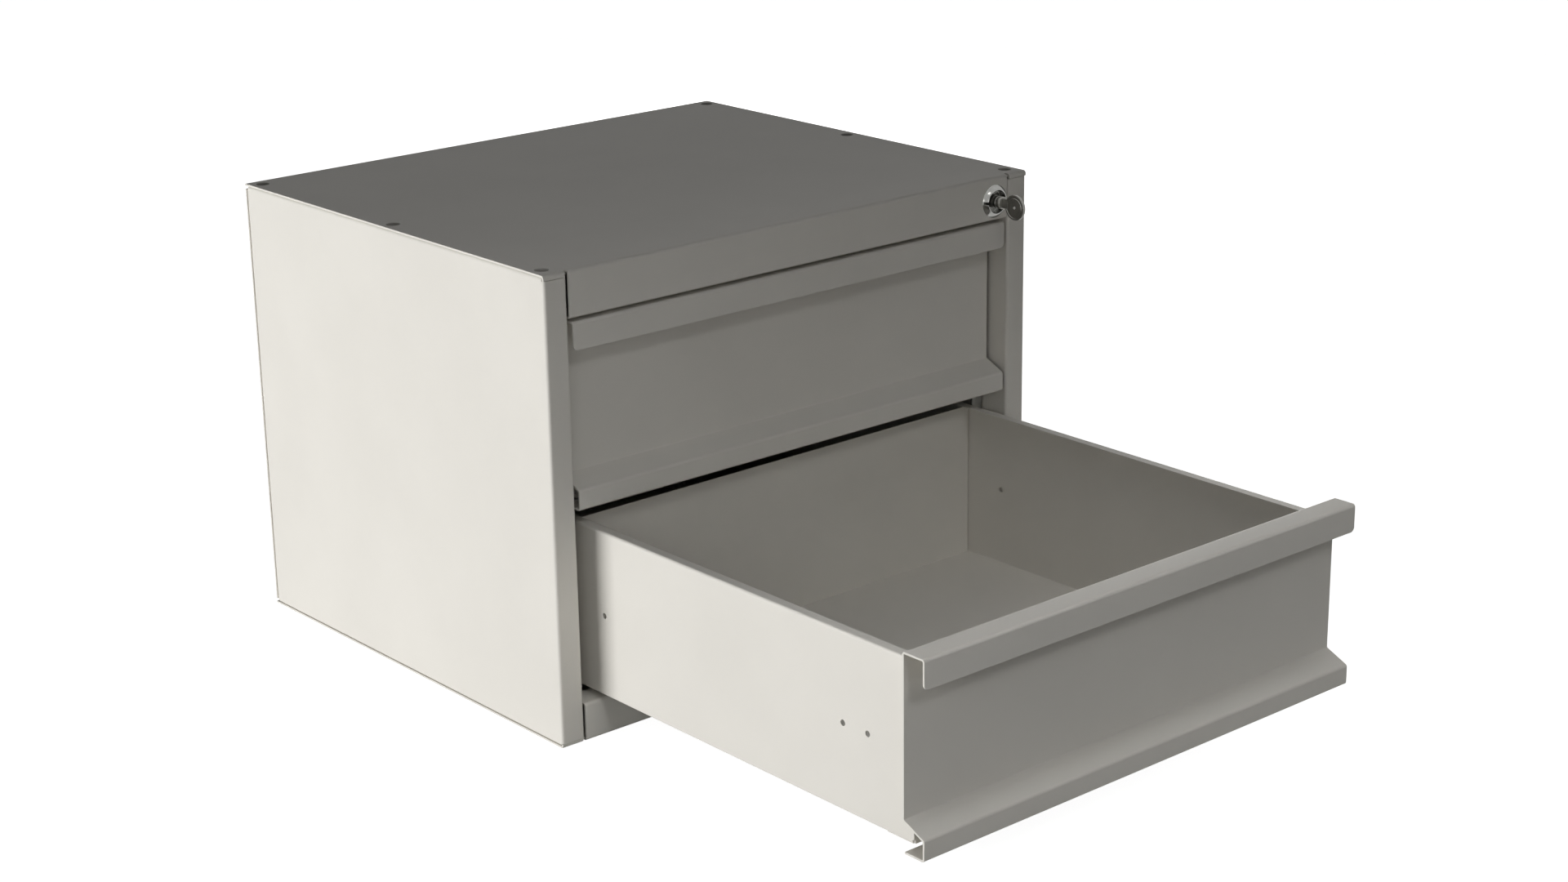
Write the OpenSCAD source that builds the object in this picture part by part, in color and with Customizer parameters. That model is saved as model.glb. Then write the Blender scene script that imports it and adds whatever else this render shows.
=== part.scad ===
// Two-drawer steel cabinet that is bolted under a worktop.
// It is drawn with the upper drawer shut and the lower drawer pulled out.
// X runs to the right as seen from the front, Y to the back and Z up.
// The origin is the centre of the casing's underside.

/* [Casing] */
// Overall width
casing_w = 500; // [440:5:700]
// Overall depth
casing_d = 422; // [360:2:600]
// Thickness of the casing's sheet
casing_t = 1.5; // [1:0.1:1.8]
// Inside radius of every fold
fold_r = 1; // [0.6:0.1:1.4]
// Width of the upright face on each side of the drawers
stile_w = 21; // [20:0.5:40]
// Depth of the post that is folded back behind each upright face
post_d = 50; // [46:1:70]
// Width of each side sheet's flanges under the top and over the bottom
side_flange = 22; // [18:1:30]
// Height of the rail over the drawers
top_rail_h = 37; // [36:0.5:60]
// Height of the rail under the drawers
bottom_rail_h = 31; // [24:0.5:60]
// Depth of the flange folded in along each rail
rail_flange = 22; // [10:1:26]
// Height of the lips that the top folds down over the uprights
top_lip_h = 4.2; // [3:0.1:8]
// Height of the lips that the bottom folds up over the uprights
bottom_lip_h = 3.2; // [3:0.1:8]
// Gap between a rail's ends and the uprights
rail_end_gap = 1.5; // [0.4:0.1:3]
// Distance of a lip's inner end from the inner edge of the upright
lip_inset = 1.5; // [0.5:0.1:5]
// Depth of the relief notch
notch_d = 3.5; // [3:0.1:6]
// Open seam between two folded edges
seam = 0.3; // [0.2:0.1:0.6]
// Depth of the flanges along the top and bottom of the back
back_flange = 20; // [12:1:30]

/* [Worktop fixing holes] */
// Diameter of the six holes in the top
fixing_d = 11; // [6:0.5:12]
// Distance of the holes from the sides
fixing_side = 10; // [8:0.5:13]
// Distance of the first holes from the front
fixing_front = 15.5; // [12:0.5:40]
// Distance of the last holes from the back
fixing_back = 11.5; // [11:0.5:40]

/* [Drawer fronts] */
// Height of one drawer front
front_h = 148; // [130:1:220]
// Thickness of the front's sheet
front_t = 1.5; // [1:0.1:1.8]
// Gap between a front and the rail next to it
rail_gap = 3; // [3:0.5:6]
// Gap between the two fronts
front_gap = 6; // [4:0.5:14]
// Gap between a front and each upright
side_gap = 4; // [1.5:0.5:5]
// Depth of the handle fold, which stands out to the casing's face
handle_d = 20; // [16:1:26]
// Height of the handle's down-turned lip
handle_lip = 22; // [14:1:34]
// Radius on the lower corners of that lip
lip_corner_r = 4; // [2:0.5:8]
// Height of the straight part of the foot fold
foot_h = 15.7; // [10:0.1:26]
// Height of the sloping part of the foot fold
foot_slope = 9; // [5:0.5:16]
// How far the drawers pull out
drawer_travel = 376.5; // [200:0.5:378]

/* [Trays] */
// Thickness of the tray's sheet
tray_t = 1; // [0.7:0.1:1.2]
// Gap between a tray and the posts at its side
tray_gap = 15; // [13:0.5:30]
// Underside of the tray above the lower edge of its front
tray_lift = 2.5; // [2.5:0.1:6]
// Top of the tray under the top edge of its front
tray_drop = 10; // [6:0.5:40]
// Width of the flange folded in along the top of the tray's walls
tray_flange = 9; // [6:0.5:14]
// Gap between the tray's rear end and the casing's rear face
tray_rear = 9; // [7:0.5:40]
// Distance of the tray's back wall from its rear end
back_inset = 8; // [6:0.5:20]
// Diameter of the three holes in each tray side
side_hole_d = 4.7; // [4:0.1:6]
// Height of these holes above the tray's underside
side_hole_z = 67; // [30:1:80]
// Distance of the first hole from the tray's front
side_hole_first = 46.5; // [44:0.5:60]
// Distance from the first hole to the second
side_hole_pitch = 25.5; // [16:0.5:40]
// Distance of the last hole from the tray's front
side_hole_last = 344; // [200:1:360]

/* [Front studs] */
// Diameter of the studs welded behind a front
stud_d = 5; // [4:0.5:6]
// Distance of the studs from the ends of the front
stud_inset = 75; // [45:5:160]
// Height of the lower studs above the tray's underside
stud_z = 34; // [30:1:44]
// Distance from the lower studs to the upper ones
stud_pitch = 76; // [30:1:80]

/* [Slides] */
// Distance of each slide's middle from the side of the tray
slide_inset = 42; // [38:1:90]
// Thickness of a slide's sheet
slide_t = 0.9; // [0.8:0.05:1]
// Running gap between two members
slide_gap = 0.3; // [0.2:0.05:0.35]
// Width of the fixed rail's head
head_w = 16; // [12:0.5:20]
// Space beside the head and beside the middle member, where the glides run
glide_space = 2; // [1.6:0.1:2.6]
// Length of one glide
glide_l = 30; // [16:1:40]
// Distance of the slides' front ends from the casing's face
slide_front = 28; // [26:1:40]
// Distance of the slides' rear ends from the casing's rear face
slide_rear = 20; // [16:1:40]

/* [Slide carriers] */
// Thickness of the carriers' sheet
carrier_t = 1.5; // [1:0.1:2]
// Height of the leg on the posts
carrier_leg = 32; // [24:1:50]
// Height of the stiffening lip along the inner edge
carrier_lip = 6; // [4:0.5:8]
// Distance of the carriers' front ends from the casing's face
carrier_front = 34; // [33:0.5:36]
// Diameter of the screws
screw_d = 4; // [3:0.5:4]

/* [Lock] */
// Distance of the lock from the post beside it
lock_inset = 15.5; // [15:0.5:18]
// Height of the lock above the lower edge of the top rail
lock_z = 16.5; // [16:0.5:20]
// Diameter of the conical bezel on the rail
bezel_d = 28; // [26:0.5:28]
// Diameter of the bezel's front rim
bezel_rim_d = 21.2; // [20:0.2:23]
// How far the bezel stands out
bezel_h = 3.5; // [2:0.1:5]
// Diameter of the housing behind the rail
housing_d = 22.5; // [22:0.5:24]
// Depth of the recess round the plug, behind the rail's face
recess_d = 3.7; // [1:0.1:6]
// Length of the housing behind the rail's face
housing_l = 24; // [20:0.5:24]
// Diameter of the turning plug
plug_d = 11; // [9:0.5:12]
// How far the plug stands out of the rail's face
plug_proud = 1.8; // [0.5:0.1:3]
// Radius at which the cam's pin goes round
cam_r = 9; // [8:0.5:9]
// Diameter of the cam's pin
cam_pin_d = 4; // [3:0.5:4]
// Turn of the plug from open to locked
lock_turn = 90; // [60:5:100]
// Diameter of the key's bow
bow_d = 21.5; // [16:0.5:26]
// Distance of the bow's centre from the rail's face
bow_reach = 24; // [22:0.5:30]
// Drop of the bow's centre under the plug's axis
bow_drop = 1.5; // [0:0.1:3]
// Thickness of the key's bow
bow_t = 2.4; // [1.6:0.2:3]

/* [Hidden] */
$fn = 48;
paint = "#c9c7c0";
zinc = "#b9bcbd";
chrome = "#d8d8d8";
dark = "#3c3c3a";
polymer = "#e8e4d8";

// Heights of the two fronts' lower edges and of the whole casing
lower_z = bottom_rail_h + rail_gap;
upper_z = lower_z + front_h + front_gap;
top_rail_z = upper_z + front_h + rail_gap;
casing_h = top_rail_z + top_rail_h;

// Half widths, from the outside in
side_x = casing_w / 2;
post_x = side_x - stile_w;
front_x = post_x - side_gap;
tray_x = post_x - tray_gap;
rail_x = post_x - rail_end_gap;
lip_x = post_x + lip_inset;
slide_x = tray_x - slide_inset;
stud_x = front_x - stud_inset;
lock_x = post_x - lock_inset;

// Places along the depth, from the casing's face
back_face_y = casing_d - casing_t;
tray_y = handle_d + front_t;
tray_end_y = casing_d - tray_rear;
slide_end_y = casing_d - slide_rear;
post_end_y = back_face_y - post_d;

// The slides hang under a tray, so their heights are counted down from its underside
web_drop = slide_t + slide_gap;
head_drop = 2 * web_drop;
head_t = slide_t + 0.4;
lip_drop = head_drop + head_t + slide_gap;
lip_t = slide_t + 0.1;
foot_drop = lip_drop + lip_t + 0.5;
foot_t = carrier_t;
shelf_drop = foot_drop + foot_t;

// Half widths of the slide's nested members
head_x = head_w / 2;
middle_x = head_x + glide_space;
middle_out_x = middle_x + slide_t + 0.1;
flange_x = middle_out_x + 4;
runner_x = flange_x + glide_space;
runner_out_x = runner_x + slide_t + 0.1;
foot_x = head_x + 6;
foot_screw_x = (head_x + foot_x) / 2 - 0.4;
glide_t = glide_space - slide_gap;
shelf_x = slide_x - foot_x - 8;

// Lock bar, guides and catches stand in the gap between the right tray sides and the post
lock_height = top_rail_z + lock_z;
bar_y = housing_l + 4;
bar_t = 2;
bar_x0 = tray_x + 2.5;
bar_x1 = post_x - 1.5;
bar_head_x1 = post_x - 0.5;
bar_lift = 2 * cam_r * sin(lock_turn / 2);
cam_angle = lock_turn / 2;
catch_t = 1.2;
catch_y = bar_y + bar_t + 2;
catch_x = tray_x + 8;
catch_h = 10;
window_h = catch_h + 3;
slot_gap = 0.6;

// Geometry helpers for folded sheet, given by its middle line in a plane

function unit(a, b) = (b - a) / norm(b - a);
function left_of(d) = [-d[1], d[0]];
function turned(v, angle) = [v[0] * cos(angle) - v[1] * sin(angle), v[0] * sin(angle) + v[1] * cos(angle)];

// One side of a fold at b as an arc; hand is 1 on the left of the line and -1 on its right
function fold_arc(a, b, c, hand, half_t, mid_r, steps = 6) =
    let (
        d = unit(a, b),
        e = unit(b, c),
        turn = atan2(d[0] * e[1] - d[1] * e[0], d * e),
        way = sign(turn),
        centre = b - d * mid_r * tan(abs(turn) / 2) + left_of(d) * way * mid_r,
        radius = mid_r - hand * way * half_t
    )
    [for (i = [0:steps]) centre + radius * turned(-left_of(d) * way, turn * i / steps)];

function fold_side(path, hand, half_t, mid_r) =
    let (last = len(path) - 1)
    concat(
        [path[0] + left_of(unit(path[0], path[1])) * hand * half_t],
        [for (i = [1:last - 1]) each fold_arc(path[i - 1], path[i], path[i + 1], hand, half_t, mid_r)],
        [path[last] + left_of(unit(path[last - 1], path[last])) * hand * half_t]
    );

function reversed(points) = [for (i = [len(points) - 1:-1:0]) points[i]];

module folded(path, t) {
    mid_r = fold_r + t / 2;
    polygon(concat(fold_side(path, 1, t / 2, mid_r), reversed(fold_side(path, -1, t / 2, mid_r))));
}

module along_x(x0, x1) {
    translate([x0, 0, 0]) rotate([90, 0, 90]) linear_extrude(x1 - x0) children();
}

module along_y(y0, y1) {
    translate([0, y1, 0]) rotate([90, 0, 0]) linear_extrude(y1 - y0) children();
}

module along_z(z0, z1) {
    translate([0, 0, z0]) linear_extrude(z1 - z0) children();
}

module block(low, high) {
    translate(low) cube(high - low);
}

// A block drawn on both sides of the middle
module pair(low, high) {
    block(low, high);
    mirror([1, 0, 0]) block(low, high);
}

module rod_x(x0, x1, d) {
    translate([x0, 0, 0]) rotate([0, 90, 0]) cylinder(h = x1 - x0, d = d);
}

module rod_y(y0, y1, d) {
    translate([0, y1, 0]) rotate([90, 0, 0]) cylinder(h = y1 - y0, d = d);
}

// Everything is drawn from the casing's face; this puts that face in its place
module from_face() {
    translate([0, -casing_d / 2, 0]) children();
}

// Casing

module fixing_holes(z0, z1) {
    first = fixing_front;
    last = casing_d - fixing_back;
    for (side = [-1, 1], y = [first, (first + last) / 2, last])
        translate([side * (side_x - fixing_side), y, z0]) cylinder(h = z1 - z0, d = fixing_d);
}

back_rivet_z = [0.15, 0.5, 0.85] * (top_rail_z - bottom_rail_h) + [1, 1, 1] * bottom_rail_h;
back_rivet_x = side_x - stile_w / 2;
rivet_d = 4;

module back_rivet_holes() {
    for (side = [-1, 1], z = back_rivet_z)
        translate([side * back_rivet_x, 0, z]) rod_y(back_face_y - 2 * casing_t, casing_d + 1, rivet_d);
}

carrier_screw_y = [(carrier_front + post_d) / 2, post_end_y + 14];
guide_height = 14;
guide_rivet_y = post_d - 7;

// Side sheet with its top and bottom flanges, and a post folded at each end; drawn for the left
module side_sheet() {
    half = casing_t / 2;
    wall = -side_x + half;
    flange = -side_x + side_flange;
    inner = -post_x - half;
    low = casing_t + half;
    high = casing_h - casing_t - half;
    fold = casing_t + fold_r;
    lap = 3 * fold;
    rear = back_face_y - half;
    along_y(fold, back_face_y - fold)
        folded([[flange, low], [wall, low], [wall, high], [flange, high]], casing_t);
    along_z(bottom_lip_h + seam, casing_h - top_lip_h - seam) {
        folded([[wall, lap], [wall, half], [inner, half], [inner, post_d]], casing_t);
        folded([[wall, back_face_y - lap], [wall, rear], [inner, rear], [inner, post_end_y]], casing_t);
    }
}

module side_panel(side) {
    color(paint) difference() {
        if (side < 0) side_sheet(); else mirror([1, 0, 0]) side_sheet();
        fixing_holes(casing_h / 2, casing_h);
        back_rivet_holes();
        for (z = [lower_z, upper_z], y = carrier_screw_y)
            translate([0, y, carrier_screw_z(z)])
                rod_x(side * post_x - 2 * casing_t, side * post_x + 2 * casing_t, screw_d);
        if (side > 0) guide_rivet_holes();
    }
}

// Flat sheet with a deep front rail between the uprights and a short lip over each of them
module deck(rail_h, lip_h) {
    half = casing_t / 2;
    difference() {
        union() {
            along_x(-rail_x, rail_x)
                folded([[rail_flange, rail_h - half], [half, rail_h - half], [half, half], [casing_d, half]],
                       casing_t);
            for (turn = [0, 1])
                mirror([turn, 0, 0]) along_x(lip_x, side_x)
                    folded([[half, lip_h], [half, half], [3 * notch_d, half]], casing_t);
            block([-side_x, notch_d, 0], [side_x, casing_d, casing_t]);
        }
        for (side = [-1, 1])
            translate([side * (rail_x + lip_x) / 2, notch_d, -1])
                cylinder(h = casing_t + 2, d = lip_x - rail_x);
    }
}

module top_panel() {
    color(paint) difference() {
        translate([0, 0, casing_h]) mirror([0, 0, 1]) deck(top_rail_h, top_lip_h);
        fixing_holes(casing_h - 2 * casing_t, casing_h + 1);
        translate([lock_x, 0, lock_height]) rod_y(-1, 3 * casing_t, housing_d);
    }
}

module bottom_panel() {
    color(paint) deck(bottom_rail_h, bottom_lip_h);
}

module back_panel() {
    half = casing_t / 2;
    low = casing_t + half;
    high = casing_h - casing_t - half;
    flange_y = casing_d - back_flange;
    edge = casing_t + fold_r + seam;
    color(paint) difference() {
        union() {
            along_x(-rail_x, rail_x)
                folded([[flange_y, low], [casing_d - half, low], [casing_d - half, high], [flange_y, high]],
                       casing_t);
            block([-side_x, back_face_y, casing_t + edge], [side_x, casing_d, casing_h - casing_t - edge]);
        }
        back_rivet_holes();
    }
}

// Blind rivet through sheets of a total thickness, with its head at Y = 0 and its shank toward -Y
module blind_rivet(grip) {
    rod_y(0, 1.2, 2 * rivet_d);
    rod_y(-grip - 1.5, 0, rivet_d);
    rod_y(-grip - 1.5, -grip, 1.6 * rivet_d);
}

module back_rivets() {
    color(zinc) for (side = [-1, 1], z = back_rivet_z)
        translate([side * back_rivet_x, casing_d, z]) blind_rivet(2 * casing_t);
}

// Slide carriers, one angle on the left and one on the right of each drawer

function underside(z) = z + tray_lift;
function carrier_screw_z(z) = underside(z) - shelf_drop + carrier_leg - 8;
rail_screw_y = [0.12, 0.5, 0.88] * (slide_end_y - slide_front) + [1, 1, 1] * slide_front;

module carrier(side, z) {
    half = carrier_t / 2;
    leg = post_x - half;
    shelf = underside(z) - shelf_drop - half;
    color(zinc) difference() {
        mirror([side < 0 ? 1 : 0, 0, 0]) along_y(carrier_front, slide_end_y)
            folded([[leg, shelf + carrier_leg], [leg, shelf],
                    [shelf_x, shelf], [shelf_x, shelf - carrier_lip]], carrier_t);
        for (y = carrier_screw_y)
            translate([0, y, carrier_screw_z(z)])
                rod_x(side * post_x - 2 * carrier_t, side * post_x + 2 * carrier_t, screw_d);
        for (y = rail_screw_y, offset = [-1, 1])
            translate([side * slide_x + offset * foot_screw_x, y, shelf - 2 * carrier_t])
                cylinder(h = 3 * carrier_t, d = screw_d);
    }
}

module carrier_screws() {
    head = 2.2;
    color(zinc) for (side = [-1, 1], z = [lower_z, upper_z], y = carrier_screw_y)
        translate([0, y, carrier_screw_z(z)]) mirror([side < 0 ? 1 : 0, 0, 0]) {
            rod_x(post_x - carrier_t - head, post_x - carrier_t, 2 * screw_d);
            rod_x(post_x - carrier_t, post_x + casing_t + 3, screw_d);
        }
}

module rail_screws() {
    head = 2.2;
    color(zinc)
        for (side = [-1, 1], z = [lower_z, upper_z], y = rail_screw_y, offset = [-1, 1])
            translate([side * slide_x + offset * foot_screw_x, y, underside(z) - shelf_drop - carrier_t]) {
                cylinder(h = carrier_t + foot_t, d = screw_d);
                translate([0, 0, -head]) cylinder(h = head, d = 2 * screw_d - 1);
            }
}

// Slides: a fixed rail, a middle member that wraps its head and a runner that wraps the middle member

module at_slide(side, z) {
    translate([side * slide_x, 0, underside(z)]) children();
}

module fixed_rail(side, z) {
    color(zinc) at_slide(side, z) difference() {
        union() {
            block([-foot_x, slide_front, -shelf_drop], [foot_x, slide_end_y, -foot_drop]);
            pair([head_x - 4, slide_front, -foot_drop], [head_x - 2.5, slide_end_y, -head_drop - head_t]);
            block([-head_x, slide_front, -head_drop - head_t], [head_x, slide_end_y, -head_drop]);
        }
        for (y = rail_screw_y, offset = [-1, 1])
            translate([offset * foot_screw_x, y, -shelf_drop - 1]) cylinder(h = foot_t + 2, d = screw_d);
    }
}

module middle_member(side, z) {
    color(zinc) at_slide(side, z) {
        block([-flange_x, slide_front, -web_drop - slide_t], [flange_x, slide_end_y, -web_drop]);
        pair([middle_x, slide_front, -lip_drop - lip_t], [middle_out_x, slide_end_y, -web_drop]);
        pair([head_x - 1.5, slide_front, -lip_drop - lip_t], [middle_x, slide_end_y, -lip_drop]);
    }
}

module runner(side, z) {
    lip_top = -web_drop - slide_t - slide_gap;
    color(zinc) at_slide(side, z) {
        block([-runner_out_x, tray_y + 2, -slide_t], [runner_out_x, slide_end_y, 0]);
        pair([runner_x, tray_y + 2, lip_top - lip_t], [runner_out_x, slide_end_y, 0]);
        pair([middle_out_x + 1.2, tray_y + 2, lip_top - lip_t], [runner_x, slide_end_y, lip_top]);
    }
}

module rail_glides() {
    color(polymer) for (side = [-1, 1], z = [lower_z, upper_z])
        at_slide(side, z)
            pair([head_x, slide_front + 2, -head_drop - head_t + 0.1],
                 [head_x + glide_t, slide_front + 2 + glide_l, -head_drop - 0.1]);
}

module middle_glides(side, z) {
    rear = slide_end_y - 2;
    color(polymer) at_slide(side, z) {
        pair([middle_x - glide_t, rear - glide_l, -head_drop - head_t + 0.1],
             [middle_x, rear, -head_drop - 0.1]);
        pair([flange_x, slide_front + 2, -web_drop - slide_t],
             [flange_x + glide_t, slide_front + 2 + glide_l, -web_drop]);
    }
}

module runner_glides(z) {
    rear = slide_end_y - 2;
    color(polymer) for (side = [-1, 1]) at_slide(side, z)
        pair([runner_x - glide_t, rear - glide_l, -web_drop - slide_t], [runner_x, rear, -web_drop]);
}

// Drawers, drawn shut

module front_studs(z, y0, y1, d) {
    for (side = [-1, 1], step = [0, 1])
        translate([side * stud_x, 0, underside(z) + stud_z + step * stud_pitch]) rod_y(y0, y1, d);
}

module drawer_front(z) {
    half = front_t / 2;
    top = z + front_h;
    panel = handle_d + half;
    foot = z + foot_h;
    color(paint) {
        difference() {
            along_x(-front_x, front_x)
                folded([[half, top - handle_lip], [half, top - half], [panel, top - half],
                        [panel, foot + foot_slope], [half, foot], [half, z + half],
                        [handle_d - half, z + half]], front_t);
            for (side = [-1, 1])
                translate([side * front_x, 0, top - handle_lip]) difference() {
                    block([-lip_corner_r, -1, -1], [lip_corner_r, 2 * front_t, lip_corner_r]);
                    translate([-side * lip_corner_r, 0, lip_corner_r])
                        rod_y(-2, 3 * front_t, 2 * lip_corner_r);
                }
        }
        front_studs(z, handle_d + half, tray_y + tray_t + 9, stud_d);
    }
}

module tray(z) {
    half = tray_t / 2;
    wall = tray_x - half;
    low = underside(z) + half;
    high = z + front_h - tray_drop - half;
    color(paint) difference() {
        union() {
            along_y(tray_y, tray_end_y)
                folded([[-tray_x + tray_flange, high], [-wall, high], [-wall, low],
                        [wall, low], [wall, high], [tray_x - tray_flange, high]], tray_t);
            along_x(-wall, wall)
                folded([[tray_y + 3 * tray_flange, low], [tray_y + half, low],
                        [tray_y + half, high], [tray_y + tray_flange, high]], tray_t);
        }
        for (y = [side_hole_first, side_hole_first + side_hole_pitch, side_hole_last])
            translate([0, tray_y + y, underside(z) + side_hole_z])
                rod_x(-tray_x - 1, tray_x + 1, side_hole_d);
        front_studs(z, tray_y - 1, tray_y + 2 * tray_t, stud_d + 0.4);
        for (side = [-1, 1])
            translate([side * tray_x, tray_y, underside(z) - 1]) cylinder(h = 4 * tray_t, d = 3 * tray_t);
    }
}

// Back wall of a tray, with tabs turned to the rear on its sides
module tray_back(z) {
    half = tray_t / 2;
    wall = tray_x - tray_t - half;
    inset_y = tray_end_y - back_inset;
    color(paint) along_z(underside(z) + tray_t, z + front_h - tray_drop - tray_t)
        folded([[-wall, tray_end_y], [-wall, inset_y], [wall, inset_y], [wall, tray_end_y]], tray_t);
}

module front_nuts(z) {
    face = tray_y + tray_t;
    color(zinc) difference() {
        union() {
            front_studs(z, face, face + 1, 2.2 * stud_d);
            for (side = [-1, 1], step = [0, 1])
                translate([side * stud_x, face + 5, underside(z) + stud_z + step * stud_pitch])
                    rotate([90, 0, 0]) cylinder(h = 4.5, d = 1.85 * stud_d, $fn = 6);
        }
        front_studs(z, face - 1, face + 10, stud_d);
    }
}

// Catch that the lock bar stands in front of; it is riveted through the front pair of side holes
module catch_plate(z) {
    half = catch_t / 2;
    height = underside(z) + side_hole_z;
    second = tray_y + side_hole_first + side_hole_pitch;
    color(zinc) difference() {
        along_z(height - catch_h / 2, height + catch_h / 2)
            folded([[catch_x, catch_y + half], [tray_x + half, catch_y + half], [tray_x + half, second + 7]],
                   catch_t);
        for (y = [second - side_hole_pitch, second])
            translate([0, y, height]) rod_x(tray_x - 1, tray_x + 2 * catch_t, rivet_d);
    }
}

module catch_rivets(z) {
    color(zinc) for (step = [0, 1])
        translate([tray_x + catch_t, tray_y + side_hole_first + step * side_hole_pitch,
                   underside(z) + side_hole_z])
            rotate([0, 0, -90]) blind_rivet(catch_t + tray_t);
}

// Lock, drawn open with its key in

module at_lock() {
    translate([lock_x, 0, lock_height]) children();
}

module lock_housing() {
    bore = plug_d + 0.6;
    cup = bezel_rim_d - 1.6;
    color(chrome) at_lock() difference() {
        union() {
            rotate([90, 0, 0]) cylinder(h = bezel_h, d1 = bezel_d, d2 = bezel_rim_d);
            rod_y(0, housing_l, housing_d);
        }
        rod_y(-bezel_h - 1, recess_d, cup);
        rod_y(-1, housing_l + 1, bore);
        block([-bezel_d, -bezel_h - 1, -1.3], [-cup / 2 + 1, -0.6, 1.3]);
    }
}

module lock_nut() {
    flats = min(housing_d + 3.5, 2 * (lock_inset - 0.4) * cos(30));
    color(zinc) at_lock() difference() {
        translate([0, casing_t + 4, 0]) rotate([90, 0, 0])
            cylinder(h = 4, d = flats / cos(30), $fn = 6);
        rod_y(casing_t - 1, casing_t + 5, housing_d);
    }
}

key_slot_h = 0.7 * plug_d;
plug_front = -plug_proud;
cam_t = 2.2;
cam_y = housing_l + 0.5;

module lock_plug() {
    color(dark) at_lock() difference() {
        union() {
            rod_y(plug_front, cam_y, plug_d);
            block([-plug_d / 3, cam_y - 1, -plug_d / 3], [plug_d / 3, cam_y + cam_t - 0.3, plug_d / 3]);
        }
        block([-bow_t / 2 - 0.2, plug_front - 1, -key_slot_h / 2 - 0.3],
              [bow_t / 2 + 0.2, housing_l - 5, key_slot_h / 2 + 0.3]);
        rod_y(housing_l - 4, cam_y + cam_t + 1, 3);
    }
}

module lock_cam() {
    arm = 1.6 * plug_d;
    color(zinc) at_lock() rotate([0, cam_angle, 0]) difference() {
        union() {
            hull() {
                rod_y(cam_y, cam_y + cam_t, arm);
                translate([cam_r, 0, 0]) rod_y(cam_y, cam_y + cam_t, cam_pin_d + 2);
            }
            translate([cam_r, 0, 0]) rod_y(cam_y, bar_y + bar_t + 1, cam_pin_d);
        }
        rotate([0, -cam_angle, 0])
            block([-plug_d / 3, cam_y - 1, -plug_d / 3], [plug_d / 3, cam_y + cam_t + 1, plug_d / 3]);
    }
}

module cam_screw() {
    color(zinc) at_lock() {
        rod_y(cam_y + cam_t, cam_y + cam_t + 1, 0.8 * plug_d);
        rod_y(housing_l - 3.5, cam_y + cam_t + 0.1, 3);
    }
}

module key() {
    collar = plug_front - 0.3;
    collar_l = 8;
    color(dark) at_lock() difference() {
        union() {
            rod_y(collar - collar_l, collar, plug_d - 0.4);
            block([-bow_t / 2, -bow_reach, -key_slot_h / 2], [bow_t / 2, collar, key_slot_h / 2]);
            block([-bow_t / 2, collar - 1, -key_slot_h / 2], [bow_t / 2, housing_l - 6, key_slot_h / 2]);
            translate([0, -bow_reach, -bow_drop]) rod_x(-bow_t / 2, bow_t / 2, bow_d);
        }
        translate([0, -bow_reach, -bow_drop]) rod_x(-bow_t, bow_t, 2.5);
        for (i = [0:4])
            translate([0, 2 + 3 * i, -key_slot_h / 2]) rotate([45, 0, 0])
                block([-bow_t, -0.9, -0.9], [bow_t, 0.9, 0.9]);
    }
}

// Bar that rises when the plug turns and puts a solid stretch in front of each catch
module lock_bar() {
    pin_z = -cam_r * sin(cam_angle);
    slot_h = cam_pin_d + 2 * slot_gap;
    low = underside(lower_z) + side_hole_z - window_h / 2 - bar_lift - 8;
    color(zinc) difference() {
        union() {
            block([bar_x0, bar_y, low], [bar_x1, bar_y + bar_t, lock_height + pin_z]);
            block([bar_x0, bar_y, lock_height + pin_z - slot_h / 2 - 4],
                  [bar_head_x1, bar_y + bar_t, lock_height + pin_z + slot_h / 2 + 3]);
        }
        translate([lock_x, 0, lock_height + pin_z])
            block([cam_r * cos(cam_angle) - cam_pin_d / 2 - slot_gap, bar_y - 1, -slot_h / 2],
                  [cam_r + cam_pin_d / 2 + slot_gap / 2, bar_y + bar_t + 1, slot_h / 2]);
        for (z = [lower_z, upper_z])
            translate([0, 0, underside(z) + side_hole_z])
                block([bar_x0 - 1, bar_y - 1, -window_h / 2], [catch_x + 1, bar_y + bar_t + 1, window_h / 2]);
    }
}

function guide_z(z) = underside(z) + side_hole_z + window_h / 2 + bar_lift + 4;

module bar_guides() {
    y0 = bar_y - 1.6;
    y1 = bar_y + bar_t + 1.6;
    color(zinc) for (z = [lower_z, upper_z]) translate([0, 0, guide_z(z)]) difference() {
        union() {
            block([tray_x + 1.2, y0, 0], [post_x, y1, guide_height]);
            block([post_x - 1.2, y0, 0], [post_x, post_d - 1, guide_height]);
        }
        block([bar_x0 - 0.3, bar_y - 0.4, -1], [bar_x1 + 0.3, bar_y + bar_t + 0.4, guide_height + 1]);
        translate([0, guide_rivet_y, guide_height / 2]) rod_x(post_x - 3, post_x + 1, rivet_d);
    }
}

module guide_rivet_holes() {
    for (z = [lower_z, upper_z])
        translate([0, guide_rivet_y, guide_z(z) + guide_height / 2])
            rod_x(post_x - 1, post_x + 2 * casing_t, rivet_d);
}

module guide_rivets() {
    color(zinc) for (z = [lower_z, upper_z])
        translate([post_x - 1.2, guide_rivet_y, guide_z(z) + guide_height / 2])
            rotate([0, 0, 90]) blind_rivet(casing_t + 1.2);
}

// Places of the moving pieces in the pose that is drawn

module pulled(share) {
    from_face() translate([0, -share * drawer_travel, 0]) children();
}

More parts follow.
